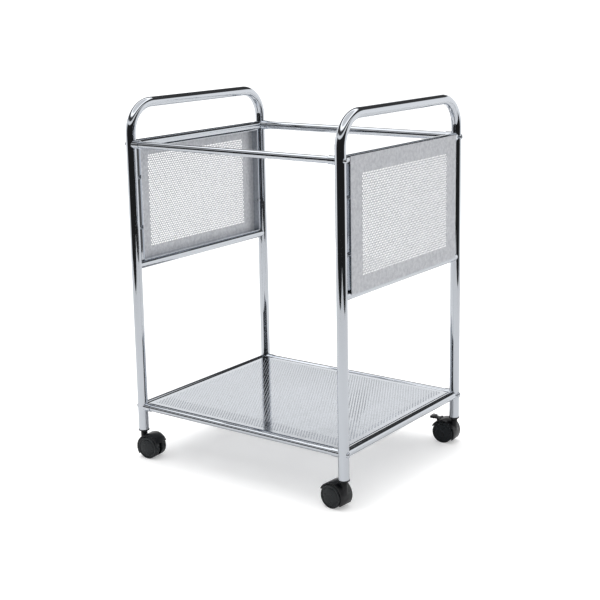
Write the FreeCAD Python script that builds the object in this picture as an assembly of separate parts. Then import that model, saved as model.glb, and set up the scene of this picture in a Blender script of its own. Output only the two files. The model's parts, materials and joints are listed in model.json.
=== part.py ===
"""Open-top chrome file cart on four twin-wheel casters.

Millimetres, +Z up.  The origin is on the floor under the middle of the cart.
X runs from the left end frame to the right one, Y runs from front to back.
"""
import FreeCAD, Part
import math
import os
from FreeCAD import Vector

# ---- overall layout -------------------------------------------------------
FRAME_LENGTH = 460.0        # between leg centres, along X
FRAME_WIDTH = 380.0         # between leg centres, along Y
SHELF_RAIL_RISE = 45.0      # from the leg's end to the tubes round the shelf
RAIL_SPACING = 498.5        # from those tubes up to the ones round the open top
HANDLE_RISE = 72.5          # from the top tubes up to the handle
PANEL_CROSSBAR_DROP = 226.0 # from the top tubes down to the tube under a panel

# ---- tubes ----------------------------------------------------------------
LEG_DIAMETER = 19.0
CROSSBAR_DIAMETER = 16.0
FRONT_RAIL_DIAMETER = 12.7
BACK_RAIL_DIAMETER = 16.0
TUBE_WALL = 1.2
HANDLE_BEND_RADIUS = 54.0   # centre line of the bend

# ---- rail joints ----------------------------------------------------------
SADDLE_WALL = 1.2
SADDLE_LENGTH = 12.0        # past the leg's surface
SADDLE_FLOOR = 2.0          # between the leg's surface and the rail's end
SADDLE_CLEARANCE = 0.3      # between a saddle and the crossbar beside it
PLUG_LENGTH = 24.0
BOLT_DIAMETER = 6.0
BOLT_HOLE_CLEARANCE = 0.2   # round the shank
BOLT_HEAD_DIAMETER = 10.0
BOLT_HEAD_RIM = 1.0         # straight part of the head past the leg's surface
BOLT_DOME_HEIGHT = 2.6
BOLT_REACH = 16.0           # shank length inside the plug

# ---- end panels -----------------------------------------------------------
SHEET = 1.0                 # sheet-steel thickness of the shelf and the panels' strips
PANEL_SHEET = 0.6           # sheet-steel thickness of the flat end panels
PANEL_LEG_GAP = 6.9         # between the sheet's edge and the leg
PANEL_TOP_INSET = 2.7       # below the upper crossbar's top
PANEL_BOTTOM_RISE = 0.9     # above the lower crossbar's middle
PANEL_CORNER_RADIUS = 3.0
RIM_DEPTH = 14.0            # of the bent strip behind the panel
RIM_CLEARANCE = 0.2         # between the strip and the crossbars
SPACER_DIAMETER = 7.0
PANEL_SCREW_DIAMETER = 4.0
PANEL_SCREW_HEAD_DIAMETER = 7.5
PANEL_SCREW_HEAD_HEIGHT = 2.2
PANEL_SCREW_REACH = 5.0     # past the leg's surface
PANEL_SCREW_SPREAD = 94.0   # between the upper and the lower screw
SCREW_HOLE_CLEARANCE = 0.1

# ---- shelf ----------------------------------------------------------------
SHELF_TOP_RISE = 5.5        # above the middle of the tubes round it
SHELF_LIP = 16.0            # height of the turned-down edge
SHELF_CLEARANCE = 0.3       # from the edge to the crossbars and the saddles
SHELF_SCREW_SPREAD = 240.0
SHELF_SCREW_DIAMETER = 4.0
SHELF_SCREW_HEAD_DIAMETER = 7.5
SHELF_SCREW_HEAD_HEIGHT = 2.2
SHELF_SCREW_REACH = 6.0     # past the edge's outer face

# ---- casters --------------------------------------------------------------
WHEEL_DIAMETER = 42.0
WHEEL_WIDTH = 12.8
WHEEL_EDGE_RADIUS = 1.6
WHEEL_GROOVE_RADIUS = 16.5
WHEEL_GROOVE_WIDTH = 1.4
WHEEL_GROOVE_DEPTH = 0.8
WHEEL_BORE_DEPTH = 9.5
WHEEL_OVERLAP = 3.0         # of the wheels past the swivel axis
AXLE_DIAMETER = 4.0
RUNNING_CLEARANCE = 0.06    # radial, axle in wheel and stem in socket
WEB_THICKNESS = 6.0
WEB_GAP = 0.6               # between the web and each wheel
HOOD_GAP = 1.2              # between the wheel's tread and the hood
HOOD_WALL = 2.3
HOOD_INSET = 1.4            # of the hood's edge from the wheel's outer face
HOOD_FRONT_ANGLE = 35.0     # below the axle's level on the stem side
HOOD_REAR_ANGLE = 25.0      # above the axle's level on the trailing side
AXLE_BOSS_DIAMETER = 14.0
BOSS_DIAMETER = 12.5
BOSS_RISE = 2.5             # above the hood's top
BOSS_DEPTH = 14.0           # of the stem's seat in the boss
STEM_DIAMETER = 8.0
STEM_REACH = 26.0           # past the leg's end
STEM_COLLAR_DIAMETER = 11.0
STEM_COLLAR_HEIGHT = 1.5
SWIVEL_PLAY = 0.3           # between the stem's collar and the socket's flange
SOCKET_FLANGE_OVERHANG = 0.8
SOCKET_FLANGE_HEIGHT = 2.2
SOCKET_DEPTH = 30.0

# ---- caster brake ---------------------------------------------------------
BRAKE_WIDTH = 13.0
BRAKE_SLOT_CLEARANCE = 0.6  # on each side of the lever
BRAKE_PIVOT_ANGLE = 62.0    # above the axle's level, on the trailing side
BRAKE_TREAD_GAP = 0.5       # between the lever's barrel and the treads
BRAKE_PIN_DIAMETER = 2.5
BRAKE_BARREL_DIAMETER = 6.0
BRAKE_LUG_DIAMETER = 6.5
BRAKE_LUG_THICKNESS = 2.4
BRAKE_ARM_LENGTH = 19.0     # from the pivot to the pedal's end
BRAKE_ARM_THICKNESS = 2.6
BRAKE_ARM_LIFT = 4.0        # degrees above level
PEDAL_LENGTH = 10.0
PEDAL_WIDTH = 17.0
PEDAL_THICKNESS = 4.0

# ---- modelling ------------------------------------------------------------
OVERRUN = 1.0               # of a cutting body past the face it opens
CUTTER_SIZE = 80.0          # larger than any piece of a caster
LENGTH_TOLERANCE = 0.01     # when an edge is picked by its length

# corner name, side along X, side along Y, direction of the trail, brake
CORNERS = (
    ("front_left", -1, -1, 5.0, False),
    ("front_right", 1, -1, 176.0, False),
    ("back_right", 1, 1, 185.0, True),
    ("back_left", -1, 1, -5.0, True),
)
SIDES = (("left", -1), ("right", 1))

# ---- values that follow ---------------------------------------------------
HALF_LENGTH = FRAME_LENGTH / 2
HALF_WIDTH = FRAME_WIDTH / 2
LEG_RADIUS = LEG_DIAMETER / 2
WHEEL_RADIUS = WHEEL_DIAMETER / 2
HOOD_INNER = WHEEL_RADIUS + HOOD_GAP
HOOD_OUTER = HOOD_INNER + HOOD_WALL
WHEEL_INNER_Y = WEB_THICKNESS / 2 + WEB_GAP
WHEEL_OUTER_Y = WHEEL_INNER_Y + WHEEL_WIDTH
HOOD_HALF_WIDTH = WHEEL_OUTER_Y - HOOD_INSET
TRAIL = WHEEL_RADIUS - WHEEL_OVERLAP
BOSS_TOP_Z = WHEEL_RADIUS + HOOD_OUTER + BOSS_RISE
LEG_END_Z = BOSS_TOP_Z + STEM_COLLAR_HEIGHT + SWIVEL_PLAY + SOCKET_FLANGE_HEIGHT
SHELF_RAIL_Z = LEG_END_Z + SHELF_RAIL_RISE
TOP_RAIL_Z = SHELF_RAIL_Z + RAIL_SPACING
HANDLE_Z = TOP_RAIL_Z + HANDLE_RISE
PANEL_CROSSBAR_Z = TOP_RAIL_Z - PANEL_CROSSBAR_DROP
PANEL_WIDTH = FRAME_WIDTH - LEG_DIAMETER - 2 * PANEL_LEG_GAP
PANEL_TOP_Z = TOP_RAIL_Z + CROSSBAR_DIAMETER / 2 - PANEL_TOP_INSET
PANEL_BOTTOM_Z = PANEL_CROSSBAR_Z + PANEL_BOTTOM_RISE
SHELF_TOP_Z = SHELF_RAIL_Z + SHELF_TOP_RISE
BRAKE_PIVOT_RADIUS = WHEEL_RADIUS + BRAKE_TREAD_GAP + BRAKE_BARREL_DIAMETER / 2
AXIS_Y = Vector(0, 1, 0)
AXIS_Z = Vector(0, 0, 1)


def save(name, shape):
    """Write one node as parts/NAME.step."""
    os.makedirs("parts", exist_ok=True)
    shape.exportStep("parts/" + name + ".step")


def save_group(name, solids):
    """Write several separate solids as one node."""
    save(name, Part.makeCompound(solids))


def cylinder(diameter, start, end):
    """Solid round bar between two points."""
    direction = end.sub(start)
    return Part.makeCylinder(diameter / 2, direction.Length, start, direction)


def box(low, high):
    """Solid box between two opposite corners."""
    size = high.sub(low)
    return Part.makeBox(size.x, size.y, size.z, low)


def tube(diameter, start, end):
    """Round tube of the common wall between two points."""
    bore = cylinder(diameter - 2 * TUBE_WALL, start, end)
    return cylinder(diameter, start, end).cut(bore)


def leg_bar(x, y):
    """Solid round bar that fills one leg's outer surface."""
    return cylinder(LEG_DIAMETER, Vector(x, y, 0), Vector(x, y, HANDLE_Z))


# ---- end frames -----------------------------------------------------------
def end_frame_path(x):
    """Centre line of one inverted U of tube, from leg end to leg end."""
    bend = HANDLE_BEND_RADIUS
    shoulder_z = HANDLE_Z - bend
    flat_y = HALF_WIDTH - bend
    slant = bend / math.sqrt(2)
    front_end = Vector(x, -HALF_WIDTH, LEG_END_Z)
    front_low = Vector(x, -HALF_WIDTH, shoulder_z)
    front_mid = Vector(x, -flat_y - slant, shoulder_z + slant)
    front_top = Vector(x, -flat_y, HANDLE_Z)
    back_top = Vector(x, flat_y, HANDLE_Z)
    back_mid = Vector(x, flat_y + slant, shoulder_z + slant)
    back_low = Vector(x, HALF_WIDTH, shoulder_z)
    back_end = Vector(x, HALF_WIDTH, LEG_END_Z)
    return Part.Wire([
        Part.LineSegment(front_end, front_low).toShape(),
        Part.Arc(front_low, front_mid, front_top).toShape(),
        Part.LineSegment(front_top, back_top).toShape(),
        Part.Arc(back_top, back_mid, back_low).toShape(),
        Part.LineSegment(back_low, back_end).toShape(),
    ])


def sweep_circle(path, diameter, start):
    """Solid bar of a round section along a path that starts upward."""
    ring = Part.Wire([Part.makeCircle(diameter / 2, start, AXIS_Z)])
    return path.makePipeShell([ring], True, True)


def bolt_bores(x):
    """Bars that cut the four bolt holes of one end frame."""
    bores = []
    for y in (-HALF_WIDTH, HALF_WIDTH):
        for z in (SHELF_RAIL_Z, TOP_RAIL_Z):
            start = Vector(x - LEG_DIAMETER, y, z)
            end = Vector(x + LEG_DIAMETER, y, z)
            bores.append(cylinder(BOLT_DIAMETER + 2 * BOLT_HOLE_CLEARANCE, start, end))
    return bores


def panel_screw_places(side):
    """Where the panel screws enter the legs: x, sign of y and z."""
    x = side * (HALF_LENGTH + rim_middle())
    middle_z = (PANEL_TOP_Z + PANEL_BOTTOM_Z) / 2
    places = []
    for sign in (-1, 1):
        for step in (-1, 1):
            places.append((x, sign, middle_z + step * PANEL_SCREW_SPREAD / 2))
    return places


def rim_middle():
    """Middle of the bent strip's depth, outward from the leg centres."""
    return CROSSBAR_DIAMETER / 2 - RIM_DEPTH / 2


def panel_screw_bores(side):
    """Bars that cut the panel screws' holes in the legs' inner walls."""
    bores = []
    for x, sign, z in panel_screw_places(side):
        start = Vector(x, sign * PANEL_WIDTH / 2, z)
        end = Vector(x, sign * HALF_WIDTH, z)
        bores.append(cylinder(PANEL_SCREW_DIAMETER + 2 * SCREW_HOLE_CLEARANCE, start, end))
    return bores


def end_frame_tube(side):
    """One inverted U: two legs and the handle between them."""
    x = side * HALF_LENGTH
    start = Vector(x, -HALF_WIDTH, LEG_END_Z)
    path = end_frame_path(x)
    outer = sweep_circle(path, LEG_DIAMETER, start)
    inner = sweep_circle(path, LEG_DIAMETER - 2 * TUBE_WALL, start)
    shell = outer.cut(inner)
    return shell.cut(bolt_bores(x) + panel_screw_bores(side))


def crossbar(side, z):
    """Tube between the two legs of an end frame, coped round the legs."""
    x = side * HALF_LENGTH
    bar = tube(CROSSBAR_DIAMETER, Vector(x, -HALF_WIDTH, z), Vector(x, HALF_WIDTH, z))
    return bar.cut([leg_bar(x, -HALF_WIDTH), leg_bar(x, HALF_WIDTH)])


def shelf_crossbar(side):
    """Crossbar at the shelf's level, with holes for the shelf screws."""
    bores = []
    for screw_y in (-SHELF_SCREW_SPREAD / 2, SHELF_SCREW_SPREAD / 2):
        start = Vector(side * shelf_half_length(), screw_y, SHELF_RAIL_Z)
        end = Vector(side * HALF_LENGTH, screw_y, SHELF_RAIL_Z)
        bores.append(cylinder(SHELF_SCREW_DIAMETER + 2 * SCREW_HOLE_CLEARANCE, start, end))
    return crossbar(side, SHELF_RAIL_Z).cut(bores)


# ---- rails and their joints -----------------------------------------------
def rails():
    """Name, diameter, y and z of the four long rails."""
    return (
        ("front_top_rail", FRONT_RAIL_DIAMETER, -HALF_WIDTH, TOP_RAIL_Z),
        ("back_top_rail", BACK_RAIL_DIAMETER, HALF_WIDTH, TOP_RAIL_Z),
        ("front_shelf_rail", FRONT_RAIL_DIAMETER, -HALF_WIDTH, SHELF_RAIL_Z),
        ("back_shelf_rail", BACK_RAIL_DIAMETER, HALF_WIDTH, SHELF_RAIL_Z),
    )


def rail_end_x():
    """Distance of a rail's end from the middle of the cart."""
    return HALF_LENGTH - LEG_RADIUS - SADDLE_FLOOR


def rail(diameter, y, z):
    """One long rail."""
    return tube(diameter, Vector(-rail_end_x(), y, z), Vector(rail_end_x(), y, z))


def saddle(side, diameter, y, z):
    """Chrome sleeve that seats a rail's end against the round leg."""
    leg_x = side * HALF_LENGTH
    mouth_x = side * (HALF_LENGTH - LEG_RADIUS - SADDLE_LENGTH)
    outer = cylinder(diameter + 2 * SADDLE_WALL, Vector(mouth_x, y, z), Vector(leg_x, y, z))
    seat = cylinder(diameter, Vector(mouth_x, y, z), Vector(side * rail_end_x(), y, z))
    bore_diameter = BOLT_DIAMETER + 2 * BOLT_HOLE_CLEARANCE
    bore = cylinder(bore_diameter, Vector(mouth_x, y, z), Vector(leg_x, y, z))
    neighbour_diameter = CROSSBAR_DIAMETER + 2 * SADDLE_CLEARANCE
    neighbour = cylinder(neighbour_diameter, Vector(leg_x, -y, z), Vector(leg_x, y, z))
    return outer.cut([seat, bore, leg_bar(leg_x, y), neighbour])


def end_plug(side, diameter, y, z):
    """Threaded steel plug fixed in a rail's end."""
    start = Vector(side * rail_end_x(), y, z)
    end = Vector(side * (rail_end_x() - PLUG_LENGTH), y, z)
    body = cylinder(diameter - 2 * TUBE_WALL, start, end)
    return body.cut(cylinder(BOLT_DIAMETER, start, end))


def domed_bolt(side, y, z):
    """Domed bolt through a leg into the plug; its head is coped to the leg."""
    leg_x = side * HALF_LENGTH
    rim_x = side * (HALF_LENGTH + LEG_RADIUS + BOLT_HEAD_RIM)
    tip_x = side * (rail_end_x() - BOLT_REACH)
    rim = cylinder(BOLT_HEAD_DIAMETER, Vector(leg_x, y, z), Vector(rim_x, y, z))
    rim = rim.cut(leg_bar(leg_x, y))
    radius = BOLT_HEAD_DIAMETER / 2
    ball_radius = (radius ** 2 + BOLT_DOME_HEIGHT ** 2) / (2 * BOLT_DOME_HEIGHT)
    ball_x = rim_x + side * (BOLT_DOME_HEIGHT - ball_radius)
    ball = Part.makeSphere(ball_radius, Vector(ball_x, y, z))
    cap_end = Vector(rim_x + side * BOLT_DOME_HEIGHT, y, z)
    dome = ball.common(cylinder(BOLT_HEAD_DIAMETER + OVERRUN, Vector(rim_x, y, z), cap_end))
    shank = cylinder(BOLT_DIAMETER, Vector(tip_x, y, z), Vector(rim_x, y, z))
    return rim.fuse([dome, shank]).removeSplitter()


def save_rails():
    """Write the rails with their saddles, plugs and bolts."""
    for level, level_z in (("top", TOP_RAIL_Z), ("shelf", SHELF_RAIL_Z)):
        saddles = []
        plugs = []
        bolts = []
        for name, diameter, y, z in rails():
            if z != level_z:
                continue
            save(name, rail(diameter, y, z))
            for side in (-1, 1):
                saddles.append(saddle(side, diameter, y, z))
                plugs.append(end_plug(side, diameter, y, z))
                bolts.append(domed_bolt(side, y, z))
        save_group(level + "_rail_saddles", saddles)
        save_group(level + "_rail_plugs", plugs)
        save_group(level + "_rail_bolts", bolts)


# ---- end panels -----------------------------------------------------------
def panel_sheet(side):
    """Flat outer sheet of an end panel, against the crossbars' outer side."""
    near = side * (HALF_LENGTH + CROSSBAR_DIAMETER / 2)
    far = near + side * PANEL_SHEET
    low = Vector(min(near, far), -PANEL_WIDTH / 2, PANEL_BOTTOM_Z)
    high = Vector(max(near, far), PANEL_WIDTH / 2, PANEL_TOP_Z)
    sheet = box(low, high)
    corners = [edge for edge in sheet.Edges if abs(edge.Length - PANEL_SHEET) < LENGTH_TOLERANCE]
    return sheet.makeFillet(PANEL_CORNER_RADIUS, corners)


def panel_rim(side):
    """Bent strip that stiffens the panel between its two crossbars."""
    outer_x = side * (HALF_LENGTH + CROSSBAR_DIAMETER / 2)
    inner_x = outer_x - side * RIM_DEPTH
    low_z = PANEL_CROSSBAR_Z + CROSSBAR_DIAMETER / 2 + RIM_CLEARANCE
    high_z = TOP_RAIL_Z - CROSSBAR_DIAMETER / 2 - RIM_CLEARANCE
    half = PANEL_WIDTH / 2
    left = min(inner_x, outer_x)
    right = max(inner_x, outer_x)
    outer = box(Vector(left, -half, low_z), Vector(right, half, high_z))
    room = box(Vector(left, SHEET - half, low_z + SHEET), Vector(right, half - SHEET, high_z - SHEET))
    return outer.cut([room] + panel_screw_bores_through_rim(side))


def panel_screw_bores_through_rim(side):
    """Bars that cut the screw holes in the strip's two upright sides."""
    bores = []
    for x, sign, z in panel_screw_places(side):
        start = Vector(x, sign * (PANEL_WIDTH / 2 - SHEET - OVERRUN), z)
        end = Vector(x, sign * HALF_WIDTH, z)
        bores.append(cylinder(PANEL_SCREW_DIAMETER + 2 * SCREW_HOLE_CLEARANCE, start, end))
    return bores


def panel_spacer(side, x, sign, z):
    """Bush between the strip's side and the leg, coped round the leg."""
    start = Vector(x, sign * PANEL_WIDTH / 2, z)
    end = Vector(x, sign * HALF_WIDTH, z)
    body = cylinder(SPACER_DIAMETER, start, end)
    bore = cylinder(PANEL_SCREW_DIAMETER + 2 * SCREW_HOLE_CLEARANCE, start, end)
    return body.cut([bore, leg_bar(side * HALF_LENGTH, sign * HALF_WIDTH)])


def panel_screw(x, sign, z):
    """Pan-head screw from inside the strip into the leg's wall."""
    seat_y = PANEL_WIDTH / 2 - SHEET
    tip_y = HALF_WIDTH - LEG_RADIUS + PANEL_SCREW_REACH
    head_start = Vector(x, sign * (seat_y - PANEL_SCREW_HEAD_HEIGHT), z)
    seat = Vector(x, sign * seat_y, z)
    head = cylinder(PANEL_SCREW_HEAD_DIAMETER, head_start, seat)
    shank = cylinder(PANEL_SCREW_DIAMETER, seat, Vector(x, sign * tip_y, z))
    return head.fuse(shank)


def save_end(name, side):
    """Write one end frame with its crossbars and its panel."""
    save(name + "_end_frame_tube", end_frame_tube(side))
    save(name + "_top_crossbar", crossbar(side, TOP_RAIL_Z))
    save(name + "_panel_crossbar", crossbar(side, PANEL_CROSSBAR_Z))
    save(name + "_shelf_crossbar", shelf_crossbar(side))
    save(name + "_panel_sheet", panel_sheet(side))
    save(name + "_panel_rim", panel_rim(side))
    places = panel_screw_places(side)
    save_group(name + "_panel_spacers", [panel_spacer(side, x, sign, z) for x, sign, z in places])
    save_group(name + "_panel_screws", [panel_screw(x, sign, z) for x, sign, z in places])


# ---- shelf ----------------------------------------------------------------
def shelf_half_length():
    """Distance of the shelf's turned-down ends from the middle."""
    return HALF_LENGTH - CROSSBAR_DIAMETER / 2 - SHELF_CLEARANCE


def shelf_tray():
    """Sheet tray with a turned-down edge, held inside the four tubes."""
    front_y = -HALF_WIDTH + FRONT_RAIL_DIAMETER / 2 + SADDLE_WALL + SHELF_CLEARANCE
    back_y = HALF_WIDTH - BACK_RAIL_DIAMETER / 2 - SADDLE_WALL - SHELF_CLEARANCE
    half = shelf_half_length()
    bottom_z = SHELF_TOP_Z - SHELF_LIP
    block = box(Vector(-half, front_y, bottom_z), Vector(half, back_y, SHELF_TOP_Z))
    room_low = Vector(SHEET - half, front_y + SHEET, bottom_z)
    room_high = Vector(half - SHEET, back_y - SHEET, SHELF_TOP_Z - SHEET)
    bores = []
    for screw_y in (-SHELF_SCREW_SPREAD / 2, SHELF_SCREW_SPREAD / 2):
        start = Vector(-half, screw_y, SHELF_RAIL_Z)
        bores.append(cylinder(SHELF_SCREW_DIAMETER + 2 * SCREW_HOLE_CLEARANCE, start,
                              Vector(half, screw_y, SHELF_RAIL_Z)))
    return block.cut([box(room_low, room_high)] + bores)


def shelf_screws():
    """Pan-head screws from under the shelf into the two crossbars."""
    screws = []
    for side in (-1, 1):
        for y in (-SHELF_SCREW_SPREAD / 2, SHELF_SCREW_SPREAD / 2):
            seat_x = shelf_half_length() - SHEET
            tip_x = shelf_half_length() + SHELF_SCREW_REACH
            seat = Vector(side * seat_x, y, SHELF_RAIL_Z)
            head_start = Vector(side * (seat_x - SHELF_SCREW_HEAD_HEIGHT), y, SHELF_RAIL_Z)
            head = cylinder(SHELF_SCREW_HEAD_DIAMETER, head_start, seat)
            shank = cylinder(SHELF_SCREW_DIAMETER, seat, Vector(side * tip_x, y, SHELF_RAIL_Z))
            screws.append(head.fuse(shank))
    return screws


# ---- casters: built with the swivel axis on Z and the trail along +X -------
def caster_socket():
    """Plastic insert pressed into a leg's end, with its visible flange."""
    flange_z = LEG_END_Z - SOCKET_FLANGE_HEIGHT
    top_z = LEG_END_Z + SOCKET_DEPTH
    flange_diameter = LEG_DIAMETER + 2 * SOCKET_FLANGE_OVERHANG
    flange = cylinder(flange_diameter, Vector(0, 0, flange_z), Vector(0, 0, LEG_END_Z))
    insert = cylinder(LEG_DIAMETER - 2 * TUBE_WALL, Vector(0, 0, LEG_END_Z), Vector(0, 0, top_z))
    bore_diameter = STEM_DIAMETER + 2 * RUNNING_CLEARANCE
    bore = cylinder(bore_diameter, Vector(0, 0, flange_z), Vector(0, 0, top_z))
    return flange.fuse(insert).cut(bore)


def caster_stem():
    """Steel stem that is fixed in the housing and turns in the socket."""
    seat_z = BOSS_TOP_Z - BOSS_DEPTH
    stem = cylinder(STEM_DIAMETER, Vector(0, 0, seat_z), Vector(0, 0, LEG_END_Z + STEM_REACH))
    collar_top = Vector(0, 0, BOSS_TOP_Z + STEM_COLLAR_HEIGHT)
    collar = cylinder(STEM_COLLAR_DIAMETER, Vector(0, 0, BOSS_TOP_Z), collar_top)
    return stem.fuse(collar)


def axle_bar(diameter, reach):
    """Bar of some diameter along the axle, from -reach to +reach."""
    start = Vector(TRAIL, -reach, WHEEL_RADIUS)
    return cylinder(diameter, start, Vector(TRAIL, reach, WHEEL_RADIUS))


def point_round_axle(radius, angle):
    """Point at a radius round the axle; 0 degrees points to the trail."""
    turn = math.radians(angle)
    return Vector(TRAIL + radius * math.cos(turn), 0, WHEEL_RADIUS + radius * math.sin(turn))


def hood_cutter():
    """Block under the slanted plane where the hood ends."""
    stem_side = point_round_axle(HOOD_OUTER, 180 + HOOD_FRONT_ANGLE)
    trail_side = point_round_axle(HOOD_OUTER, HOOD_REAR_ANGLE)
    along = (trail_side - stem_side).normalize()
    down = Vector(along.z, 0, -along.x)
    near_edge = Vector(0, -CUTTER_SIZE, 0)
    corner_a = stem_side - along * CUTTER_SIZE + near_edge
    corner_b = trail_side + along * CUTTER_SIZE + near_edge
    corner_c = corner_b + down * CUTTER_SIZE
    corner_d = corner_a + down * CUTTER_SIZE
    face = Part.Face(Part.makePolygon([corner_a, corner_b, corner_c, corner_d, corner_a]))
    return face.extrude(Vector(0, 2 * CUTTER_SIZE, 0))


def hood():
    """Hood over both wheels with the web between them."""
    body = axle_bar(2 * HOOD_OUTER, HOOD_HALF_WIDTH)
    pockets = []
    for side in (-1, 1):
        start = Vector(TRAIL, side * WEB_THICKNESS / 2, WHEEL_RADIUS)
        end = Vector(TRAIL, side * (HOOD_HALF_WIDTH + OVERRUN), WHEEL_RADIUS)
        pockets.append(cylinder(2 * HOOD_INNER, start, end))
    return body.cut(pockets + [hood_cutter()])


def brake_pivot():
    """Middle of the brake lever's pin."""
    return point_round_axle(BRAKE_PIVOT_RADIUS, BRAKE_PIVOT_ANGLE)


def shifted(point, y):
    """The same point moved along the axle's direction."""
    return Vector(point.x, y, point.z)


def brake_slot():
    """Opening in the hood and the web that the brake lever moves in."""
    half = BRAKE_WIDTH / 2 + BRAKE_SLOT_CLEARANCE
    pivot = brake_pivot()
    reach = BRAKE_BARREL_DIAMETER / 2 + BRAKE_SLOT_CLEARANCE
    low = Vector(pivot.x - reach, -half, pivot.z - reach)
    high = Vector(low.x + CUTTER_SIZE, half, low.z + CUTTER_SIZE)
    return box(low, high)


def brake_lugs():
    """Two ears on the hood that hold the brake lever's pin."""
    pivot = brake_pivot()
    inner = BRAKE_WIDTH / 2 + BRAKE_SLOT_CLEARANCE
    outer = inner + BRAKE_LUG_THICKNESS
    wheel_room = axle_bar(2 * HOOD_INNER, outer + OVERRUN)
    lugs = []
    for side in (-1, 1):
        lug = cylinder(BRAKE_LUG_DIAMETER, shifted(pivot, side * inner), shifted(pivot, side * outer))
        lugs.append(lug.cut(wheel_room))
    return lugs


def caster_housing(brake):
    """Plastic body of a caster: boss, hood, web and axle boss."""
    boss_low = Vector(0, 0, WHEEL_RADIUS)
    boss = cylinder(BOSS_DIAMETER, boss_low, Vector(0, 0, BOSS_TOP_Z))
    room = []
    for side in (-1, 1):
        start = Vector(TRAIL, side * WEB_THICKNESS / 2, WHEEL_RADIUS)
        end = Vector(TRAIL, side * BOSS_DIAMETER, WHEEL_RADIUS)
        room.append(cylinder(2 * HOOD_INNER, start, end))
    boss = boss.cut(room)
    axle_boss = axle_bar(AXLE_BOSS_DIAMETER, WEB_THICKNESS / 2)
    body = hood()
    if brake:
        body = body.cut(brake_slot()).fuse(brake_lugs())
    body = body.fuse([boss, axle_boss])
    seat_low = Vector(0, 0, BOSS_TOP_Z - BOSS_DEPTH)
    seat = cylinder(STEM_DIAMETER, seat_low, Vector(0, 0, BOSS_TOP_Z + OVERRUN))
    body = body.cut([seat, axle_bar(AXLE_DIAMETER, HOOD_HALF_WIDTH)])
    if brake:
        reach = BRAKE_WIDTH / 2 + BRAKE_SLOT_CLEARANCE + BRAKE_LUG_THICKNESS
        pivot = brake_pivot()
        body = body.cut(cylinder(BRAKE_PIN_DIAMETER, shifted(pivot, -reach), shifted(pivot, reach)))
    return body.removeSplitter()


def caster_axle():
    """Steel axle through the web into both wheels."""
    return axle_bar(AXLE_DIAMETER, WHEEL_INNER_Y + WHEEL_BORE_DEPTH - WEB_GAP)


def caster_wheel(side):
    """One moulded wheel with a closed outer face and a shallow ring groove."""
    inner = Vector(TRAIL, side * WHEEL_INNER_Y, WHEEL_RADIUS)
    outer = Vector(TRAIL, side * WHEEL_OUTER_Y, WHEEL_RADIUS)
    body = cylinder(WHEEL_DIAMETER, inner, outer)
    rims = [edge for edge in body.Edges if isinstance(edge.Curve, Part.Circle)]
    body = body.makeFillet(WHEEL_EDGE_RADIUS, rims)
    groove_low = Vector(TRAIL, side * (WHEEL_OUTER_Y - WHEEL_GROOVE_DEPTH), WHEEL_RADIUS)
    groove = cylinder(2 * WHEEL_GROOVE_RADIUS + WHEEL_GROOVE_WIDTH, groove_low, outer)
    island = cylinder(2 * WHEEL_GROOVE_RADIUS - WHEEL_GROOVE_WIDTH, groove_low, outer)
    bore_end = Vector(TRAIL, side * (WHEEL_INNER_Y + WHEEL_BORE_DEPTH), WHEEL_RADIUS)
    bore = cylinder(AXLE_DIAMETER + 2 * RUNNING_CLEARANCE, inner, bore_end)
    return body.cut([groove.cut(island), bore])


def brake_pin():
    """Steel pin of the brake lever."""
    reach = BRAKE_WIDTH / 2 + BRAKE_SLOT_CLEARANCE + BRAKE_LUG_THICKNESS
    pivot = brake_pivot()
    return cylinder(BRAKE_PIN_DIAMETER, shifted(pivot, -reach), shifted(pivot, reach))


def brake_lever():
    """Brake lever: barrel on the pin, arm and foot pedal."""
    pivot = brake_pivot()
    half = BRAKE_WIDTH / 2
    barrel = cylinder(BRAKE_BARREL_DIAMETER, shifted(pivot, -half), shifted(pivot, half))
    arm_low = Vector(pivot.x, -half, pivot.z)
    arm_high = Vector(pivot.x + BRAKE_ARM_LENGTH, half, pivot.z + BRAKE_ARM_THICKNESS)
    arm = box(arm_low, arm_high)
    pedal_low = Vector(arm_high.x - PEDAL_LENGTH, -PEDAL_WIDTH / 2, pivot.z)
    pedal = box(pedal_low, Vector(arm_high.x, PEDAL_WIDTH / 2, pivot.z + PEDAL_THICKNESS))
    upright = [edge for edge in pedal.Edges if abs(edge.Length - PEDAL_THICKNESS) < LENGTH_TOLERANCE]
    pedal = pedal.makeFillet(PEDAL_THICKNESS / 2, upright)
    lever = barrel.fuse([arm, pedal]).removeSplitter()
    bore_diameter = BRAKE_PIN_DIAMETER + 2 * RUNNING_CLEARANCE
    lever = lever.cut(cylinder(bore_diameter, shifted(pivot, -half), shifted(pivot, half)))
    lever.rotate(pivot, AXIS_Y, -BRAKE_ARM_LIFT)
    return lever


def save_caster(name, x_side, y_side, trail_angle, brake):
    """Write one corner's caster, turned to its resting direction."""
    pieces = {
        "caster_socket": caster_socket(),
        "caster_stem": caster_stem(),
        "caster_housing": caster_housing(brake),
        "caster_axle": caster_axle(),
        "caster_inner_wheel": caster_wheel(-1),
        "caster_outer_wheel": caster_wheel(1),
    }
    if brake:
        pieces["brake_pin"] = brake_pin()
        pieces["brake_lever"] = brake_lever()
    for piece_name, shape in pieces.items():
        shape.rotate(Vector(0, 0, 0), AXIS_Z, trail_angle)
        shape.translate(Vector(x_side * HALF_LENGTH, y_side * HALF_WIDTH, 0))
        save(name + "_" + piece_name, shape)


for end_name, end_side in SIDES:
    save_end(end_name, end_side)
save_rails()
save("shelf_tray", shelf_tray())
save_group("shelf_screws", shelf_screws())
for corner in CORNERS:
    save_caster(*corner)
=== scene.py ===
"""Chrome rolling file cart: the looks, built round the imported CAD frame.

Every size is in metres in the CAD frame: the origin is on the floor under
the middle of the cart, +X to the right end frame, +Y to the back, +Z up.
"""

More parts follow.
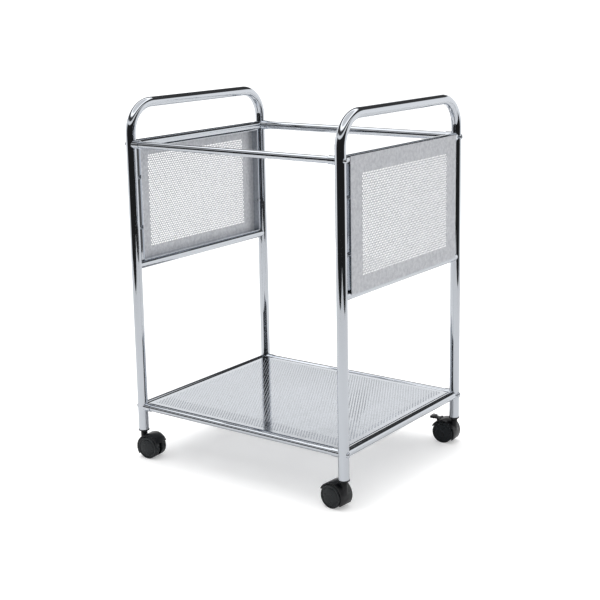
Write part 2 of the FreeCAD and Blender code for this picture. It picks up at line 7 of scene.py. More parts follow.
import json
import logging
import math
from collections.abc import Callable
from dataclasses import dataclass
from enum import Enum

import bpy
from mathutils import Matrix, Vector


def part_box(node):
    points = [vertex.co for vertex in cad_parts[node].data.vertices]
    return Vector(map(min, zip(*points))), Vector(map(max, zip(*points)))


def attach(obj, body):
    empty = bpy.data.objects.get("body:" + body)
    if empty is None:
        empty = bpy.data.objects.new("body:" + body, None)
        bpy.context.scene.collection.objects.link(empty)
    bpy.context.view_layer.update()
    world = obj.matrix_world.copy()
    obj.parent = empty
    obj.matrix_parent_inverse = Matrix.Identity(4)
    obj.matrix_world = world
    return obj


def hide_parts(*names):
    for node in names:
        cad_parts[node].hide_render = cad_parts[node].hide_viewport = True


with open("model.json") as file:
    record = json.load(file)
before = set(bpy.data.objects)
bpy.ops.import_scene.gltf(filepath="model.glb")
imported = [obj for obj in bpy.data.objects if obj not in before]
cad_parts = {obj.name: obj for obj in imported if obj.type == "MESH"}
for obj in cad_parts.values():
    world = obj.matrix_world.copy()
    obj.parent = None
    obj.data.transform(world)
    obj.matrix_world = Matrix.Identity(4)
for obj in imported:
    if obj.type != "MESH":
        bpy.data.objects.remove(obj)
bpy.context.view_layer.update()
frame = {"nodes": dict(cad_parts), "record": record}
LOG = logging.getLogger("file_cart")
MM = 0.001
TINY = 1e-5                 # points nearer than this are one point
CLEAN_ANGLE = 1.0           # degrees: flatter edges than this are dissolved
BEVEL_ANGLE = 35.0          # degrees: sharper edges than this are rounded
SMOOTH_ANGLE = 32.0         # degrees: flatter edges than this are shaded smooth


# ---------------------------------------------------------------- node helper
def linear(hex_code: str) -> tuple[float, float, float, float]:
    """Turn an sRGB hex colour into Blender's linear RGBA.

    Args:
        hex_code: six hex digits, such as "B9BBBD".

    Returns:
        The linear red, green, blue and alpha values.
    """
    values = []
    for start in (0, 2, 4):
        part = int(hex_code[start:start + 2], 16) / 255
        values.append(part / 12.92 if part <= 0.04045 else ((part + 0.055) / 1.055) ** 2.4)
    return (values[0], values[1], values[2], 1.0)


def add_node(tree: bpy.types.NodeTree, kind: str, inputs: dict | None = None,
             settings: dict | None = None) -> bpy.types.Node:
    """Add one node, set its options, then set or link its inputs.

    Args:
        tree: the node tree that gets the node.
        kind: the node's type name.
        inputs: input name or number to a value, or to a socket to link from.
        settings: option name to value.

    Returns:
        The new node.
    """
    node = tree.nodes.new(kind)
    for name, value in (settings or {}).items():
        setattr(node, name, value)
    for name, value in (inputs or {}).items():
        if isinstance(value, bpy.types.NodeSocket):
            tree.links.new(value, node.inputs[name])
        else:
            node.inputs[name].default_value = value
    return node


def new_material(name: str) -> tuple[bpy.types.Material, bpy.types.NodeTree, bpy.types.Node]:
    """Make an empty node material with a Principled shader.

    Args:
        name: the material's name.

    Returns:
        The material, its node tree and the Principled shader's node.
    """
    material = bpy.data.materials.new(name)
    material.use_nodes = True
    tree = material.node_tree
    tree.nodes.clear()
    shader = add_node(tree, "ShaderNodeBsdfPrincipled")
    add_node(tree, "ShaderNodeOutputMaterial", {"Surface": shader.outputs[0]})
    return material, tree, shader


# ------------------------------------------------------------------- finishes
@dataclass(frozen=True)
class ChromePlate:
    """Bright nickel-chrome plate over polished steel tube or sheet.

    It gives the eye a cool mirror with a very slight waviness from the
    polished steel under it and faint rub marks that soften some reflections.
    """

    name: str = "chrome_plate"
    colour: str = "C5C9CF"
    roughness: tuple[float, float] = (0.035, 0.09)
    wave_mm: float = 55.0
    wave_depth_mm: float = 0.004
    wave_detail: float = 1.0
    rub_mm: float = 9.0
    rub_detail: float = 5.0
    rub_break_up: float = 0.62
    rub_range: tuple[float, float] = (0.42, 0.72)

    def make(self) -> bpy.types.Material:
        """Build the material.

        Returns:
            The finished material.
        """
        material, tree, shader = new_material(self.name)
        place = add_node(tree, "ShaderNodeTexCoord").outputs["Object"]
        rubs = add_node(tree, "ShaderNodeTexNoise", {
            "Vector": place, "Scale": 1 / (self.rub_mm * MM),
            "Detail": self.rub_detail, "Roughness": self.rub_break_up})
        gloss = add_node(tree, "ShaderNodeMapRange", {
            "Value": rubs.outputs[0],
            "From Min": self.rub_range[0], "From Max": self.rub_range[1],
            "To Min": self.roughness[0], "To Max": self.roughness[1]})
        waves = add_node(tree, "ShaderNodeTexNoise", {
            "Vector": place, "Scale": 1 / (self.wave_mm * MM), "Detail": self.wave_detail})
        bump = add_node(tree, "ShaderNodeBump", {
            "Height": waves.outputs[0], "Strength": 1.0, "Distance": self.wave_depth_mm * MM})
        shader.inputs["Base Color"].default_value = linear(self.colour)
        shader.inputs["Metallic"].default_value = 1.0
        tree.links.new(gloss.outputs[0], shader.inputs["Roughness"])
        tree.links.new(bump.outputs[0], shader.inputs["Normal"])
        return material


@dataclass(frozen=True)
class SatinSilverCoat:
    """Satin silver powder coat on punched sheet steel.

    It gives the eye an even light grey with a fine metallic grain and no clear
    reflections. Its colour is mottled at random and is a little darker where the
    grain's bump is low: painted shade in the pits of the coat.
    """

    name: str = "satin_silver_coat"
    light: str = "DADCE0"
    # dark: the colour of the painted shade in the pits and of the random mottle
    dark: str = "BFC1C7"
    grain_mm: float = 0.9
    grain_break_up: float = 0.6
    grain_range: tuple[float, float] = (0.3, 0.7)
    grain_strength: float = 0.5
    grain_depth_mm: float = 0.02
    cloud_mm: float = 5.5
    # grain times clouds over this range goes from the dark colour (painted pit shade and
    # random mottle) to the light one
    pit_shade_and_mottle_range: tuple[float, float] = (0.15, 0.36)
    detail: float = 3.0
    roughness: tuple[float, float] = (0.4, 0.52)
    metallic: float = 0.35

    def make(self) -> bpy.types.Material:
        """Build the material.

        Returns:
            The finished material.
        """
        material, tree, shader = new_material(self.name)
        place = add_node(tree, "ShaderNodeTexCoord").outputs["Object"]
        grain = add_node(tree, "ShaderNodeTexNoise", {
            "Vector": place, "Scale": 1 / (self.grain_mm * MM),
            "Detail": self.detail, "Roughness": self.grain_break_up})
        clouds = add_node(tree, "ShaderNodeTexNoise", {
            "Vector": place, "Scale": 1 / (self.cloud_mm * MM), "Detail": self.detail})
        both = add_node(tree, "ShaderNodeMath", {0: grain.outputs[0], 1: clouds.outputs[0]},
                        {"operation": "MULTIPLY"})
        # painted shade: the colour is darker where the grain is low, in the pits of its bump,
        # and the clouds mottle it at random
        pit_shade_and_mottle = add_node(tree, "ShaderNodeMapRange", {
            "Value": both.outputs[0],
            "From Min": self.pit_shade_and_mottle_range[0], "From Max": self.pit_shade_and_mottle_range[1]})
        colour = add_node(tree, "ShaderNodeMix", {
            "Factor": pit_shade_and_mottle.outputs[0], "A": linear(self.dark), "B": linear(self.light)},
            {"data_type": "RGBA"})
        gloss = add_node(tree, "ShaderNodeMapRange", {
            "Value": grain.outputs[0],
            "From Min": self.grain_range[0], "From Max": self.grain_range[1],
            "To Min": self.roughness[0], "To Max": self.roughness[1]})
        bump = add_node(tree, "ShaderNodeBump", {
            "Height": grain.outputs[0], "Strength": self.grain_strength,
            "Distance": self.grain_depth_mm * MM})
        tree.links.new(colour.outputs["Result"], shader.inputs["Base Color"])
        tree.links.new(gloss.outputs[0], shader.inputs["Roughness"])
        tree.links.new(bump.outputs[0], shader.inputs["Normal"])
        shader.inputs["Metallic"].default_value = self.metallic
        return material


@dataclass(frozen=True)
class MouldedNylon:
    """Black or dark grey injection-moulded nylon.

    It gives the eye a soft broad sheen from a fine spark-eroded grain, with
    slightly glossier patches where hands and floors have rubbed it.
    """

    name: str
    light: str
    dark: str
    roughness: tuple[float, float]
    sheen: float = 0.35
    grain_mm: float = 0.7
    grain_break_up: float = 0.55
    grain_strength: float = 0.6
    grain_depth_mm: float = 0.03
    rub_mm: float = 9.0
    rub_range: tuple[float, float] = (0.3, 0.7)
    detail: float = 3.0
    ior: float = 1.53

    def make(self) -> bpy.types.Material:
        """Build the material.

        Returns:
            The finished material.
        """
        material, tree, shader = new_material(self.name)
        place = add_node(tree, "ShaderNodeTexCoord").outputs["Object"]
        grain = add_node(tree, "ShaderNodeTexNoise", {
            "Vector": place, "Scale": 1 / (self.grain_mm * MM),
            "Detail": self.detail, "Roughness": self.grain_break_up})
        rubs = add_node(tree, "ShaderNodeTexNoise", {
            "Vector": place, "Scale": 1 / (self.rub_mm * MM), "Detail": self.detail})
        colour = add_node(tree, "ShaderNodeMix", {
            "Factor": rubs.outputs[0], "A": linear(self.dark), "B": linear(self.light)},
            {"data_type": "RGBA"})
        gloss = add_node(tree, "ShaderNodeMapRange", {
            "Value": rubs.outputs[0],
            "From Min": self.rub_range[0], "From Max": self.rub_range[1],
            "To Min": self.roughness[0], "To Max": self.roughness[1]})
        bump = add_node(tree, "ShaderNodeBump", {
            "Height": grain.outputs[0], "Strength": self.grain_strength,
            "Distance": self.grain_depth_mm * MM})
        tree.links.new(colour.outputs["Result"], shader.inputs["Base Color"])
        tree.links.new(gloss.outputs[0], shader.inputs["Roughness"])
        tree.links.new(bump.outputs[0], shader.inputs["Normal"])
        shader.inputs["IOR"].default_value = self.ior
        shader.inputs["Specular IOR Level"].default_value = self.sheen
        return material


@dataclass(frozen=True)
class ZincPlatedSteel:
    """Zinc-plated turned steel of pins, plugs and screws.

    It gives the eye a duller, slightly bluish metal with fine turning marks.
    """

    name: str = "zinc_plated_steel"
    light: str = "C9CDD2"
    dark: str = "A4A8AE"
    mark_mm: float = 0.6
    mark_detail: float = 2.0
    stretch: tuple[float, float, float] = (0.15, 0.15, 1.0)
    roughness: tuple[float, float] = (0.2, 0.36)

    def make(self) -> bpy.types.Material:
        """Build the material.

        Returns:
            The finished material.
        """
        material, tree, shader = new_material(self.name)
        place = add_node(tree, "ShaderNodeTexCoord").outputs["Object"]
        drawn = add_node(tree, "ShaderNodeMapping", {"Vector": place, "Scale": self.stretch})
        marks = add_node(tree, "ShaderNodeTexNoise", {
            "Vector": drawn.outputs[0], "Scale": 1 / (self.mark_mm * MM),
            "Detail": self.mark_detail})
        colour = add_node(tree, "ShaderNodeMix", {
            "Factor": marks.outputs[0], "A": linear(self.dark), "B": linear(self.light)},
            {"data_type": "RGBA"})
        gloss = add_node(tree, "ShaderNodeMapRange", {
            "Value": marks.outputs[0],
            "To Min": self.roughness[0], "To Max": self.roughness[1]})
        tree.links.new(colour.outputs["Result"], shader.inputs["Base Color"])
        tree.links.new(gloss.outputs[0], shader.inputs["Roughness"])
        shader.inputs["Metallic"].default_value = 1.0
        return material


# --------------------------------------------------------------- mesh helpers
def start_clean() -> None:
    """Leave edit mode and deselect everything."""
    if bpy.context.object and bpy.context.object.mode != "OBJECT":
        bpy.ops.object.mode_set(mode="OBJECT")
    bpy.ops.object.select_all(action="DESELECT")


def choose(piece: bpy.types.Object, element: str, test: Callable[[Vector], bool],
           whole: bool = False) -> None:
    """Select a piece's vertices, edges or faces by a test, ready for edit mode.

    Args:
        piece: the mesh object that is active.
        element: "VERT", "EDGE" or "FACE".
        test: a function of a point that says yes or no; an edge needs a yes
            for both its ends.
        whole: also ask the test about an edge's middle.
    """
    bpy.ops.object.mode_set(mode="EDIT")
    bpy.ops.mesh.select_mode(type=element)
    bpy.ops.mesh.select_all(action="DESELECT")
    bpy.ops.object.mode_set(mode="OBJECT")
    mesh = piece.data
    items = {"VERT": mesh.vertices, "EDGE": mesh.edges, "FACE": mesh.polygons}[element]
    for item in items:
        if element == "VERT":
            asked = [item.co]
        else:
            ends = [mesh.vertices[i].co for i in item.vertices]
            middle = [sum(ends, Vector()) / len(ends)]
            asked = middle if element == "FACE" else ends + (middle if whole else [])
        if all(test(point) for point in asked):
            item.select = True
    bpy.ops.object.mode_set(mode="EDIT")


def apply_modifier(piece: bpy.types.Object, name: str, kind: str,
                   **settings: object) -> None:
    """Add one modifier with its settings and apply it.

    Args:
        piece: the mesh object that is active.
        name: the modifier's name.
        kind: the modifier's type.
        **settings: option name to value.
    """
    modifier = piece.modifiers.new(name, kind)
    for key, value in settings.items():
        setattr(modifier, key, value)
    bpy.ops.object.modifier_apply(modifier=name)


def settle(piece: bpy.types.Object, place: Matrix) -> None:
    """Put a piece in its place and move that place into its mesh.

    Args:
        piece: the mesh object that is active.
        place: where its own frame goes in the cart's frame.
    """
    piece.matrix_world = place
    bpy.ops.object.transform_apply(location=True, rotation=True, scale=True)


# --------------------------------------------------------- punched sheet metal
CELL_SLANT = {8: 45.0, 6: 30.0}     # degrees, by the hole's sides: where its corners lie
CELL_NEAR = (0.6, 0.9)              # parts of a corner's reach past which a point is one
PAST_HOLE = 1.02                    # parts of the hole's radius
MERGE_PART = 0.02                   # part of the pitch within which cells meet


@dataclass
class PunchedSheet:
    """A flat sheet with a field of round holes in staggered rows.

    It is made flat on its own XY plane: its middle at the origin and its
    outer face up, at height zero.  Rows run along X.
    """

    name: str
    width: float
    height: float
    columns: int
    row_pairs: int
    thickness: float
    sides: int = 8                  # of each hole
    row_angle: float = 60.0         # degrees, of the stagger
    corner_segments: int = 5
    pitch: float = 4.7625 * MM
    hole: float = 3.2 * MM
    field_shift: float = 0.0
    corner: float = 0.0

    @property
    def row_pitch(self) -> float:
        """Distance between two rows of the stagger."""
        return self.pitch * math.sin(math.radians(self.row_angle))

    @property
    def merge_distance(self) -> float:
        """Cells meet within this distance of each other."""
        return MERGE_PART * self.pitch

    @property
    def slant(self) -> float:
        """Angle at which the hole's four corners lie that become the cell's."""
        return math.radians(CELL_SLANT[self.sides])

    def cell(self, x: float, y: float) -> bpy.types.Object:
        """Model one cell with its hole: a ring drawn out to a rectangle.

        Args:
            x: where the cell's middle is along the row.
            y: where its middle is across the rows.

        Returns:
            The cell.
        """
        start_clean()
        bpy.ops.mesh.primitive_circle_add(vertices=self.sides, radius=self.hole / 2)
        piece = bpy.context.object
        piece.name = self.name
        bpy.ops.object.mode_set(mode="EDIT")
        bpy.ops.mesh.select_all(action="SELECT")
        bpy.ops.mesh.extrude_edges_move()
        bpy.ops.transform.resize(value=(self.pitch / self.hole, self.row_pitch / self.hole, 1))
        reach_x, reach_y = math.cos(self.slant), math.sin(self.slant)
        near_x = CELL_NEAR[0] * reach_x * self.pitch / 2
        near_y = CELL_NEAR[1] * reach_y * self.row_pitch / 2
        past_hole = PAST_HOLE * self.hole / 2
        choose(piece, "VERT", lambda p: abs(p.x) > near_x and abs(p.y) > near_y
               and p.length > past_hole)
        bpy.ops.transform.resize(value=(1 / reach_x, 1 / reach_y, 1))
        bpy.ops.mesh.select_all(action="SELECT")
        bpy.ops.transform.translate(value=(x, y, 0))
        bpy.ops.object.mode_set(mode="OBJECT")
        return piece

    def row(self, count: int, y: float) -> bpy.types.Object:
        """Model one row of cells.

        Args:
            count: how many holes it has.
            y: where its middle is.

        Returns:
            The row.
        """
        piece = self.cell(-(count - 1) / 2 * self.pitch, y)
        self.repeat(piece, count, (self.pitch, 0, 0))
        return piece

    def repeat(self, piece: bpy.types.Object, count: int,
               step: tuple[float, float, float]) -> None:
        """Repeat a piece of sheet and merge the copies where they meet.

        Args:
            piece: the piece of sheet.
            count: how many there are in all.
            step: from each one to the next.
        """
        apply_modifier(piece, "repeat", "ARRAY", count=count, use_relative_offset=False,
                       use_constant_offset=True, constant_offset_displace=step,
                       use_merge_vertices=True, merge_threshold=self.merge_distance)

    def draw_out(self, piece: bpy.types.Object, axis: int, sign: int, reach: float) -> None:
        """Extrude one side of the sheet out to a new edge.

        Args:
            piece: the sheet.
            axis: 0 for X and 1 for Y.
            sign: which of the two sides.
            reach: the distance of the new edge from the middle.
        """
        edge = max(sign * v.co[axis] for v in piece.data.vertices)
        choose(piece, "EDGE", lambda p: abs(sign * p[axis] - edge) < TINY)
        step = [0.0, 0.0, 0.0]
        step[axis] = sign * (reach - edge)
        bpy.ops.mesh.extrude_edges_move()
        bpy.ops.transform.translate(value=step)
        bpy.ops.object.mode_set(mode="OBJECT")

    def flat(self) -> bpy.types.Object:
        """Model the sheet before it gets its thickness.

        Returns:
            The single-skinned sheet, with its border and rounded corners.
        """
        first_y = self.field_shift - (self.row_pairs - 0.5) * self.row_pitch
        full = self.row(self.columns, first_y)
        short = self.row(self.columns - 1, first_y + self.row_pitch)
        for sign in (-1, 1):
            self.draw_out(short, 0, sign, self.columns / 2 * self.pitch)
        start_clean()
        short.select_set(True)
        full.select_set(True)
        bpy.context.view_layer.objects.active = full
        bpy.ops.object.join()
        bpy.ops.object.mode_set(mode="EDIT")
        bpy.ops.mesh.select_all(action="SELECT")
        bpy.ops.mesh.remove_doubles(threshold=self.merge_distance)
        bpy.ops.object.mode_set(mode="OBJECT")
        self.repeat(full, self.row_pairs, (0, 2 * self.row_pitch, 0))
        for axis, half in ((0, self.width / 2), (1, self.height / 2)):
            for sign in (-1, 1):
                self.draw_out(full, axis, sign, half)
        if self.corner > 0:
            near_x, near_y = self.width / 2 - TINY, self.height / 2 - TINY
            choose(full, "VERT", lambda p: abs(p.x) > near_x and abs(p.y) > near_y)
            bpy.ops.mesh.bevel(offset=self.corner, segments=self.corner_segments,
                               affect="VERTICES")
            bpy.ops.object.mode_set(mode="OBJECT")
        self.face_up(full)
        return full

    def face_up(self, piece: bpy.types.Object) -> None:
        """Point every face of a flat sheet up.

        Args:
            piece: the sheet.
        """
        bpy.ops.object.mode_set(mode="EDIT")
        bpy.ops.mesh.select_all(action="SELECT")
        bpy.ops.mesh.normals_make_consistent(inside=False)
        bpy.ops.object.mode_set(mode="OBJECT")
        if piece.data.polygons[0].normal.z < 0:
            bpy.ops.object.mode_set(mode="EDIT")
            bpy.ops.mesh.flip_normals()
            bpy.ops.object.mode_set(mode="OBJECT")

    def thicken(self, piece: bpy.types.Object, even: bool = False) -> None:
        """Give the sheet its thickness, on the inner side.

        Args:
            piece: the sheet.
            even: keep the thickness round bends.
        """
        apply_modifier(piece, "thicken", "SOLIDIFY", thickness=self.thickness, offset=-1.0,
                       use_even_offset=even)


@dataclass
class EndPanel:
    """One end panel: the punched outer sheet in place of the plain CAD one."""

    side: str
    columns: int = 59
    row_pairs: int = 21
    field_middle: float = 484.0 * MM
    sheet: float = 0.6 * MM
    corner: float = 3.0 * MM

    def build(self, finish: bpy.types.Material) -> bpy.types.Object:
        """Model the sheet, put it on its end frame and dress it.

        Args:
            finish: the coat of the sheet.

        Returns:
            The finished sheet.
        """
        node = f"{self.side}_panel_sheet"
        low, high = (Vector(corner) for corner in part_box(node))
        size = high - low
        sheet = PunchedSheet(
            name=f"{self.side}_punched_panel", width=size.y, height=size.z,
            columns=self.columns, row_pairs=self.row_pairs, thickness=self.sheet,
            field_shift=self.field_middle - (low.z + high.z) / 2, corner=self.corner)
        piece = sheet.flat()
        sheet.thicken(piece)
        outward = 1 if low.x > 0 else -1
        outer_x = high.x if outward > 0 else low.x
        middle = Vector((outer_x, (low.y + high.y) / 2, (low.z + high.z) / 2))
        turn = Matrix(((0, 0, outward), (outward, 0, 0), (0, 1, 0))).to_4x4()
        settle(piece, Matrix.Translation(middle) @ turn)
        piece.data.materials.append(finish)
        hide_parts(node)
        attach(piece, "frame")
        LOG.info("%s: %d faces", piece.name, len(piece.data.polygons))
        return piece


@dataclass
class Shelf:
    """The low shelf: a punched tray with a turned-down edge."""

    columns: int = 75
    row_pairs: int = 35
    sheet: float = 1.0 * MM
    pitch: float = 5.7 * MM

    def build(self, finish: bpy.types.Material) -> bpy.types.Object:
        """Model the tray in place of the plain CAD one and dress it.

        Args:
            finish: the plate of the tray.

        Returns:
            The finished tray.
        """
        low, high = (Vector(corner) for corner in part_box("shelf_tray"))
        size = high - low
        tray = PunchedSheet(
            name="punched_shelf_tray", width=size.x, height=size.y, columns=self.columns,
            row_pairs=self.row_pairs, thickness=self.sheet, sides=6, pitch=self.pitch)
        piece = tray.flat()
        half_x, half_y = size.x / 2 - TINY, size.y / 2 - TINY
        choose(piece, "EDGE", lambda p: abs(p.x) > half_x or abs(p.y) > half_y, whole=True)
        bpy.ops.mesh.extrude_edges_move()
        bpy.ops.transform.translate(value=(0, 0, -size.z))
        bpy.ops.object.mode_set(mode="OBJECT")
        tray.face_up(piece)
        tray.thicken(piece, even=True)
        middle = Vector(((low.x + high.x) / 2, (low.y + high.y) / 2, high.z))
        settle(piece, Matrix.Translation(middle))
        piece.data.materials.append(finish)
        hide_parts("shelf_tray")
        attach(piece, "frame")
        LOG.info("%s: %d faces", piece.name, len(piece.data.polygons))
        return piece


# ------------------------------------------------------- finishes of CAD nodes
class Dress(Enum):
    """Which finish each of the record's material slots gets."""

    CHROME = ("frame_chrome", "crossbar_chrome", "rail_chrome", "saddle_chrome",
              "bolt_chrome", "panel_rim_chrome")
    STEEL = ("plug_steel", "screw_steel", "stem_steel", "spacer_chrome")
    BLACK = ("socket_plastic", "housing_plastic", "lever_plastic", "pin_plastic")
    GREY = ("wheel_plastic",)


@dataclass
class Wardrobe:
    """Makes the finishes once and gives each CAD node its own."""

    chrome: bpy.types.Material
    shelf_chrome: bpy.types.Material
    coat: bpy.types.Material
    steel: bpy.types.Material
    black: bpy.types.Material
    grey: bpy.types.Material

    def for_slot(self, slot: str) -> bpy.types.Material:
        """Find the finish of a material slot.

        Args:
            slot: the slot's name in the record.

        Returns:
            The material for it.
        """
        choices = {Dress.CHROME: self.chrome, Dress.STEEL: self.steel,
                   Dress.BLACK: self.black, Dress.GREY: self.grey}
        for dress, material in choices.items():
            if slot in dress.value:
                return material
        return self.shelf_chrome if slot == "shelf_chrome" else self.coat

    def dress_nodes(self) -> None:
        """Give every CAD node the finish of its slot."""
        for part in frame["record"]["subparts"]:
            node = frame["nodes"][part["node"]]
            node.data.materials.clear()
            node.data.materials.append(self.for_slot(part["material_slot"]))
            LOG.info("%s: %s", part["node"], part["material_slot"])


# ------------------------------------------------------------- softened edges
SOFT_SLOTS = ("housing_plastic", "wheel_plastic", "lever_plastic", "socket_plastic")


@dataclass
class SoftEdged:
    """A CAD node's shape with its sharp edges rounded, in place of the node."""

    node: str
    body: str
    slot: str
    rounding: float = 0.35 * MM
    segments: int = 2

    def build(self, finish: bpy.types.Material) -> bpy.types.Object:
        """Copy the node, merge and clean its mesh, round its edges and dress it.

        Args:
            finish: the material it gets.

        Returns:
            The finished piece.
        """
        start_clean()
        mesh = frame["nodes"][self.node].data.copy()
        piece = bpy.data.objects.new(f"{self.node}_soft_edged", mesh)
        bpy.context.collection.objects.link(piece)
        piece.select_set(True)
        bpy.context.view_layer.objects.active = piece
        bpy.ops.object.mode_set(mode="EDIT")
        bpy.ops.mesh.select_all(action="SELECT")
        bpy.ops.mesh.remove_doubles(threshold=TINY)
        bpy.ops.mesh.customdata_custom_splitnormals_clear()
        bpy.ops.mesh.dissolve_limited(angle_limit=math.radians(CLEAN_ANGLE))
        bpy.ops.object.mode_set(mode="OBJECT")
        apply_modifier(piece, "round", "BEVEL", width=self.rounding, segments=self.segments,
                       limit_method="ANGLE", angle_limit=math.radians(BEVEL_ANGLE))
        bpy.ops.object.shade_smooth_by_angle(angle=math.radians(SMOOTH_ANGLE))
        piece.data.materials.clear()
        piece.data.materials.append(finish)
        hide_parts(self.node)
        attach(piece, self.body)
        LOG.info("%s: %d faces", piece.name, len(piece.data.polygons))
        return piece


def build_soft_edged(wardrobe: Wardrobe) -> None:
    """Round the edges of the casters' mouldings.

    Args:
        wardrobe: the finishes.
    """
    bodies = frame["record"]["behaviour"]["bodies"]
    for part in frame["record"]["subparts"]:
        slot = part["material_slot"]
        if slot in SOFT_SLOTS:
            body = next(name for name, nodes in bodies.items() if part["node"] in nodes)
            SoftEdged(part["node"], body, slot).build(wardrobe.for_slot(slot))


# ----------------------------------------------------------------- the studio
@dataclass(frozen=True)
class SoftLight:
    """A square soft light that points at the cart and that the chrome does not show."""

    name: str
    place: tuple[float, float, float]
    size: float
    power: float
    aim: tuple[float, float, float] = (0.0, 0.0, 0.3)

    def hang(self) -> None:
        """Add the light to the scene."""
        data = bpy.data.lights.new(self.name, "AREA")
        data.shape = "SQUARE"
        data.size = self.size
        data.energy = self.power
        lamp = bpy.data.objects.new(self.name, data)
        lamp.visible_glossy = False
        lamp.location = self.place
        ahead = Vector(self.aim) - Vector(self.place)
        lamp.rotation_euler = ahead.to_track_quat("-Z", "Y").to_euler()
        bpy.context.collection.objects.link(lamp)


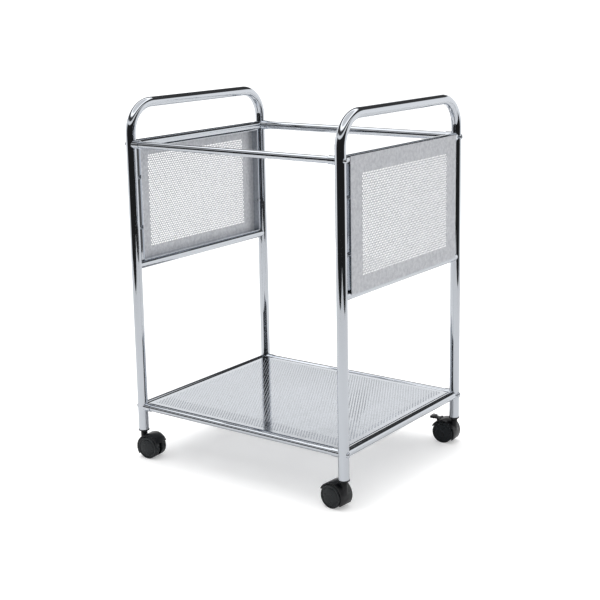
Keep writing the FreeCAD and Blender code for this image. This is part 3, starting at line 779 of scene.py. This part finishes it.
@dataclass
class Studio:
    """Pale paper floor, soft light and the camera."""

    floor_half: float = 1.55
    floor_colour: str = "E8E8E8"
    floor_roughness: float = 0.7
    floor_lift: float = 0.34        # glow that only the camera sees
    sweep_white: float = 1.45
    camera_place: tuple[float, float, float] = (1.3493, -1.8228, 0.8615)
    camera_azimuth: float = 35.44
    camera_elevation: float = 11.758
    camera_roll: float = -0.846
    sensor: float = 36.0            # in millimetres, like the lens
    view_limit: float = 50.0
    focal_px: float = 1241.0
    frame_px: float = 600.0
    shift: tuple[float, float] = (-0.0333, -0.0833)
    room_strength: float = 1.9
    front_fade: tuple[float, float] = (-0.1, 0.25)
    back_stops: tuple[tuple[float, float], ...] = (
        (-1.0, 0.6), (0.34, 0.6), (0.4, 0.03), (0.68, 0.03), (0.76, 1.0), (0.82, 1.0),
        (0.87, 0.5), (1.0, 0.5))
    front_stops: tuple[tuple[float, float], ...] = (
        (-1.0, 0.008), (0.345, 0.012), (0.385, 0.55), (0.5, 0.55), (0.54, 0.03), (0.68, 0.03),
        (0.76, 1.0), (0.82, 1.0), (0.87, 0.5), (1.0, 0.5))
    lights: tuple[SoftLight, ...] = (
        SoftLight("overhead_softbox", (-0.4, 0.3, 2.6), size=2.2, power=48.0),
        SoftLight("side_fill", (2.4, -0.9, 0.4), size=1.4, power=2.5))

    def floor(self) -> None:
        """Lay the pale floor."""
        start_clean()
        bpy.ops.mesh.primitive_plane_add(size=2 * self.floor_half)
        floor = bpy.context.object
        floor.name = "studio_floor"
        material, tree, shader = new_material("white_paper")
        shader.inputs["Base Color"].default_value = linear(self.floor_colour)
        shader.inputs["Roughness"].default_value = self.floor_roughness
        shader.inputs["Emission Color"].default_value = linear("FFFFFF")
        seen = add_node(tree, "ShaderNodeLightPath").outputs["Is Camera Ray"]
        lift = add_node(tree, "ShaderNodeMath", {0: seen, 1: self.floor_lift},
                        {"operation": "MULTIPLY"})
        tree.links.new(lift.outputs[0], shader.inputs["Emission Strength"])
        floor.data.materials.append(material)

    def band(self, tree: bpy.types.NodeTree, height: bpy.types.NodeSocket,
             stops: tuple[tuple[float, float], ...]) -> bpy.types.NodeSocket:
        """Grade the room's brightness by height.

        Args:
            tree: the world's node tree.
            height: the direction's Z, from -1 to 1.
            stops: pairs of height and brightness, from low to high.

        Returns:
            The brightness.
        """
        place = add_node(tree, "ShaderNodeMapRange", {"Value": height, "From Min": -1.0})
        ramp = add_node(tree, "ShaderNodeValToRGB", {"Fac": place.outputs[0]})
        points = ramp.color_ramp.elements
        while len(points) < len(stops):
            points.new(0.5)
        for point, (level, value) in zip(points, stops):
            point.position = (level + 1) / 2
            point.color = (value, value, value, 1.0)
        return ramp.outputs[0]

    def room(self) -> None:
        """Surround the cart with a white sweep, a dim room and a ceiling softbox."""
        world = bpy.data.worlds.new("studio_room")
        world.use_nodes = True
        tree = world.node_tree
        tree.nodes.clear()
        way = add_node(tree, "ShaderNodeTexCoord").outputs["Generated"]
        turn = math.radians(self.camera_azimuth)
        towards = (math.sin(turn), -math.cos(turn), 0.0)
        side = add_node(tree, "ShaderNodeVectorMath", {0: way, 1: towards},
                        {"operation": "DOT_PRODUCT"})
        front = add_node(tree, "ShaderNodeMapRange", {
            "Value": side.outputs["Value"], "From Min": self.front_fade[0],
            "From Max": self.front_fade[1]},
            {"interpolation_type": "SMOOTHSTEP"})
        height = add_node(tree, "ShaderNodeSeparateXYZ", {0: way}).outputs["Z"]
        behind = self.band(tree, height, self.back_stops)
        ahead = self.band(tree, height, self.front_stops)
        shade = add_node(tree, "ShaderNodeMix", {
            "Factor": front.outputs[0], "A": behind, "B": ahead}, {"data_type": "RGBA"})
        seen = add_node(tree, "ShaderNodeLightPath").outputs["Is Camera Ray"]
        room = add_node(tree, "ShaderNodeBackground", {
            "Color": shade.outputs["Result"], "Strength": self.room_strength})
        white = add_node(tree, "ShaderNodeBackground", {
            "Color": (1.0, 1.0, 1.0, 1.0), "Strength": self.sweep_white})
        mixed = add_node(tree, "ShaderNodeMixShader", {
            0: seen, 1: room.outputs[0], 2: white.outputs[0]})
        add_node(tree, "ShaderNodeOutputWorld", {"Surface": mixed.outputs[0]})
        bpy.context.scene.world = world

    def camera(self) -> None:
        """Set up the camera."""
        data = bpy.data.cameras.new("studio_camera")
        data.sensor_width = self.sensor
        data.lens = self.focal_px / self.frame_px * data.sensor_width
        data.shift_x, data.shift_y = self.shift
        data.clip_end = self.view_limit
        camera = bpy.data.objects.new("studio_camera", data)
        azimuth = math.radians(self.camera_azimuth)
        elevation = math.radians(self.camera_elevation)
        ahead = Vector((-math.sin(azimuth) * math.cos(elevation),
                        math.cos(azimuth) * math.cos(elevation), -math.sin(elevation)))
        aim = ahead.to_track_quat("-Z", "Y").to_matrix().to_4x4()
        roll = Matrix.Rotation(math.radians(self.camera_roll), 4, "Z")
        camera.matrix_world = Matrix.Translation(self.camera_place) @ aim @ roll
        bpy.context.collection.objects.link(camera)
        bpy.context.scene.camera = camera

    def build(self) -> None:
        """Set up the whole studio."""
        self.floor()
        self.room()
        for light in self.lights:
            light.hang()
        self.camera()
        bpy.context.scene.view_settings.view_transform = "Standard"
        LOG.info("studio ready")


def main() -> None:
    """Build the cart's looks and its studio."""
    logging.basicConfig(level=logging.INFO)
    wardrobe = Wardrobe(
        chrome=ChromePlate().make(),
        shelf_chrome=ChromePlate(name="shelf_chrome_plate", roughness=(0.06, 0.13),
                                 wave_mm=38.0, wave_depth_mm=0.09).make(),
        coat=SatinSilverCoat().make(),
        steel=ZincPlatedSteel().make(),
        black=MouldedNylon("black_moulded_nylon", "0E0F14", "08090C",
                           roughness=(0.39, 0.27)).make(),
        grey=MouldedNylon("grey_moulded_nylon", "10181D", "0B1115",
                          roughness=(0.35, 0.23)).make())
    wardrobe.dress_nodes()
    for side in ("left", "right"):
        EndPanel(side).build(wardrobe.coat)
    Shelf().build(wardrobe.shelf_chrome)
    build_soft_edged(wardrobe)
    Studio().build()


if __name__ == "__main__":
    main()
